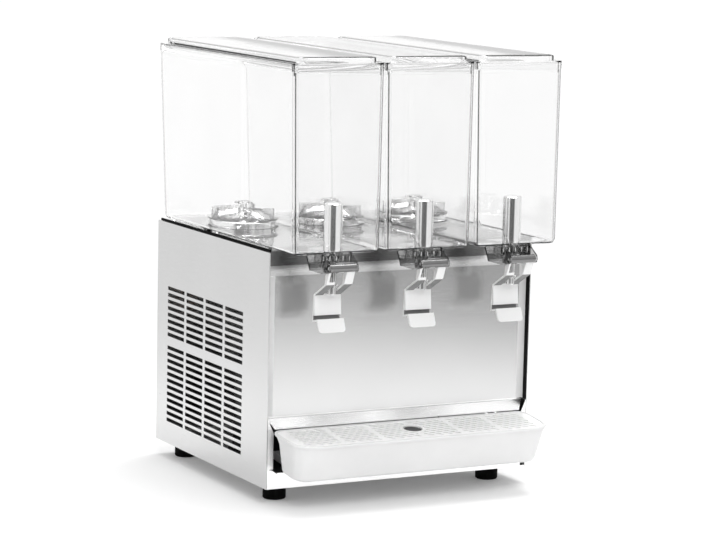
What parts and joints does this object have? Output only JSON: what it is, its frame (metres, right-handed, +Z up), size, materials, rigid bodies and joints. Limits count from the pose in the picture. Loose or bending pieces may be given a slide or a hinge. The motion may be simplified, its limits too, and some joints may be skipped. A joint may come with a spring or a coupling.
{
  "type": "refrigerated juice dispenser",
  "caption": "Refrigerated juice dispenser with clear lidded bowls on a brushed steel cabinet, white push-lever taps and a white drip tray with a slotted grille.",
  "frame": {"origin": "on the ground under the middle of the whole object's width and depth", "axes": "+Z up, -Y towards the person at the taps, +X to that person's right"},
  "size_m": [0.4692, 0.5436, 0.697],
  "materials": {
    "brushed_steel": "brushed stainless steel",
    "polished_steel": "polished stainless steel",
    "galvanised_sheet": "galvanised",
    "condenser_fins": "bare fins",
    "copper": "bare copper tube",
    "clear_plastic": "clear, polished",
    "white_plastic": "satin white",
    "black_plastic": "satin black",
    "black_rubber": "matt",
    "black_enamel": "black enamel",
    "magnet": "coated"
  },
  "bodies": {
    "cabinet": {"base_chassis": "galvanised_sheet", "left_side_panel": "brushed_steel", "right_side_panel": "brushed_steel", "front_panel": "brushed_steel", "back_panel": "brushed_steel", "top_deck": "brushed_steel", "drip_ledge": "brushed_steel", "foot_front_left": "black_rubber", "foot_front_right": "black_rubber", "foot_back_left": "black_rubber", "foot_back_right": "black_rubber", "evaporator_dome_left": "polished_steel", "evaporator_dome_middle": "polished_steel", "evaporator_dome_right": "polished_steel", "bowl_gasket_left": "black_rubber", "bowl_gasket_middle": "black_rubber", "bowl_gasket_right": "black_rubber", "stirrer_motor_left": "black_enamel", "stirrer_motor_middle": "black_enamel", "stirrer_motor_right": "black_enamel", "bowl_left": "clear_plastic", "bowl_middle": "clear_plastic", "bowl_right": "clear_plastic", "tap_tube_left": "polished_steel", "tap_tube_middle": "polished_steel", "tap_tube_right": "polished_steel", "piston_spring_left": "polished_steel", "piston_spring_middle": "polished_steel", "piston_spring_right": "polished_steel", "lever_pin_left": "polished_steel", "lever_pin_middle": "polished_steel", "lever_pin_right": "polished_steel", "compressor": "black_enamel", "condenser": "condenser_fins", "fan_motor": "black_enamel", "fan_bracket": "galvanised_sheet", "refrigerant_line": "copper", "control_box": "black_plastic", "cord_gland": "black_plastic"},
    "left_lid": {"lid_left": "clear_plastic"},
    "middle_lid": {"lid_middle": "clear_plastic"},
    "right_lid": {"lid_right": "clear_plastic"},
    "left_magnet": {"drive_magnet_left": "magnet"},
    "middle_magnet": {"drive_magnet_middle": "magnet"},
    "right_magnet": {"drive_magnet_right": "magnet"},
    "left_agitator": {"agitator_left": "clear_plastic"},
    "middle_agitator": {"agitator_middle": "clear_plastic"},
    "right_agitator": {"agitator_right": "clear_plastic"},
    "left_piston": {"tap_piston_left": "polished_steel"},
    "middle_piston": {"tap_piston_middle": "polished_steel"},
    "right_piston": {"tap_piston_right": "polished_steel"},
    "left_lever": {"tap_lever_left": "white_plastic"},
    "middle_lever": {"tap_lever_middle": "white_plastic"},
    "right_lever": {"tap_lever_right": "white_plastic"},
    "tray": {"drip_tray": "white_plastic"},
    "grille": {"drip_tray_grille": "white_plastic"},
    "float": {"level_float": "black_plastic"},
    "fan": {"fan_blade": "black_plastic"},
    "knob": {"thermostat_knob": "black_plastic"},
    "rocker": {"power_switch": "black_plastic"}
  },
  "joints": [
    {"name": "left_lid_lift", "type": "slide", "parent": "cabinet", "child": "left_lid", "axis": [0, 0, 1], "range_m": [0, 0.06]},
    {"name": "middle_lid_lift", "type": "slide", "parent": "cabinet", "child": "middle_lid", "axis": [0, 0, 1], "range_m": [0, 0.06]},
    {"name": "right_lid_lift", "type": "slide", "parent": "cabinet", "child": "right_lid", "axis": [0, 0, 1], "range_m": [0, 0.06]},
    {"name": "left_magnet_spin", "type": "hinge", "parent": "cabinet", "child": "left_magnet", "pos_m": [-0.1571, 0.0827, 0.402], "axis": [0, 0, 1], "continuous": true},
    {"name": "middle_magnet_spin", "type": "hinge", "parent": "cabinet", "child": "middle_magnet", "pos_m": [0, 0.0827, 0.402], "axis": [0, 0, 1], "continuous": true},
    {"name": "right_magnet_spin", "type": "hinge", "parent": "cabinet", "child": "right_magnet", "pos_m": [0.1571, 0.0827, 0.402], "axis": [0, 0, 1], "continuous": true},
    {"name": "left_agitator_spin", "type": "hinge", "parent": "cabinet", "child": "left_agitator", "pos_m": [-0.1571, 0.0827, 0.427], "axis": [0, 0, 1], "continuous": true},
    {"name": "middle_agitator_spin", "type": "hinge", "parent": "cabinet", "child": "middle_agitator", "pos_m": [0, 0.0827, 0.427], "axis": [0, 0, 1], "continuous": true},
    {"name": "right_agitator_spin", "type": "hinge", "parent": "cabinet", "child": "right_agitator", "pos_m": [0.1571, 0.0827, 0.427], "axis": [0, 0, 1], "continuous": true},
    {"name": "left_lever_push", "type": "hinge", "parent": "cabinet", "child": "left_lever", "pos_m": [-0.1571, -0.2643, 0.3816], "axis": [1, 0, 0], "range_deg": [0, 18]},
    {"name": "middle_lever_push", "type": "hinge", "parent": "cabinet", "child": "middle_lever", "pos_m": [0, -0.2643, 0.3816], "axis": [1, 0, 0], "range_deg": [0, 18]},
    {"name": "right_lever_push", "type": "hinge", "parent": "cabinet", "child": "right_lever", "pos_m": [0.1571, -0.2643, 0.3816], "axis": [1, 0, 0], "range_deg": [0, 18]},
    {"name": "left_piston_lift", "type": "slide", "parent": "cabinet", "child": "left_piston", "axis": [0, 0, 1], "range_m": [0, 0.0139], "stiffness_N_per_m": 250, "springref_m": -0.02, "deforming": ["piston_spring_left"]},
    {"name": "middle_piston_lift", "type": "slide", "parent": "cabinet", "child": "middle_piston", "axis": [0, 0, 1], "range_m": [0, 0.0139], "stiffness_N_per_m": 250, "springref_m": -0.02, "deforming": ["piston_spring_middle"]},
    {"name": "right_piston_lift", "type": "slide", "parent": "cabinet", "child": "right_piston", "axis": [0, 0, 1], "range_m": [0, 0.0139], "stiffness_N_per_m": 250, "springref_m": -0.02, "deforming": ["piston_spring_right"]},
    {"name": "drip_tray_slide", "type": "slide", "parent": "cabinet", "child": "tray", "axis": [0, -0.9945, -0.1045], "range_m": [0, 0.055]},
    {"name": "grille_lift", "type": "slide", "parent": "tray", "child": "grille", "axis": [0, -0.1045, 0.9945], "range_m": [0, 0.03]},
    {"name": "float_rise", "type": "slide", "parent": "tray", "child": "float", "axis": [0, -0.1045, 0.9945], "range_m": [0, 0.012]},
    {"name": "fan_spin", "type": "hinge", "parent": "cabinet", "child": "fan", "pos_m": [0.16, 0.0527, 0.1365], "axis": [1, 0, 0], "continuous": true},
    {"name": "thermostat_turn", "type": "hinge", "parent": "cabinet", "child": "knob", "pos_m": [0.172, 0.26, 0.3], "axis": [0, -1, 0], "range_deg": [0, 270]},
    {"name": "power_switch_rock", "type": "hinge", "parent": "cabinet", "child": "rocker", "pos_m": [0.128, 0.2525, 0.3], "axis": [-1, 0, 0], "range_deg": [0, 16]}
  ],
  "couplings": [
    {"joint": "left_agitator_spin", "follows": "left_magnet_spin", "ratio": 1},
    {"joint": "middle_agitator_spin", "follows": "middle_magnet_spin", "ratio": 1},
    {"joint": "right_agitator_spin", "follows": "right_magnet_spin", "ratio": 1},
    {"joint": "left_piston_lift", "follows": "left_lever_push", "m_per_rad": 0.044},
    {"joint": "middle_piston_lift", "follows": "middle_lever_push", "m_per_rad": 0.044},
    {"joint": "right_piston_lift", "follows": "right_lever_push", "m_per_rad": 0.044}
  ]
}
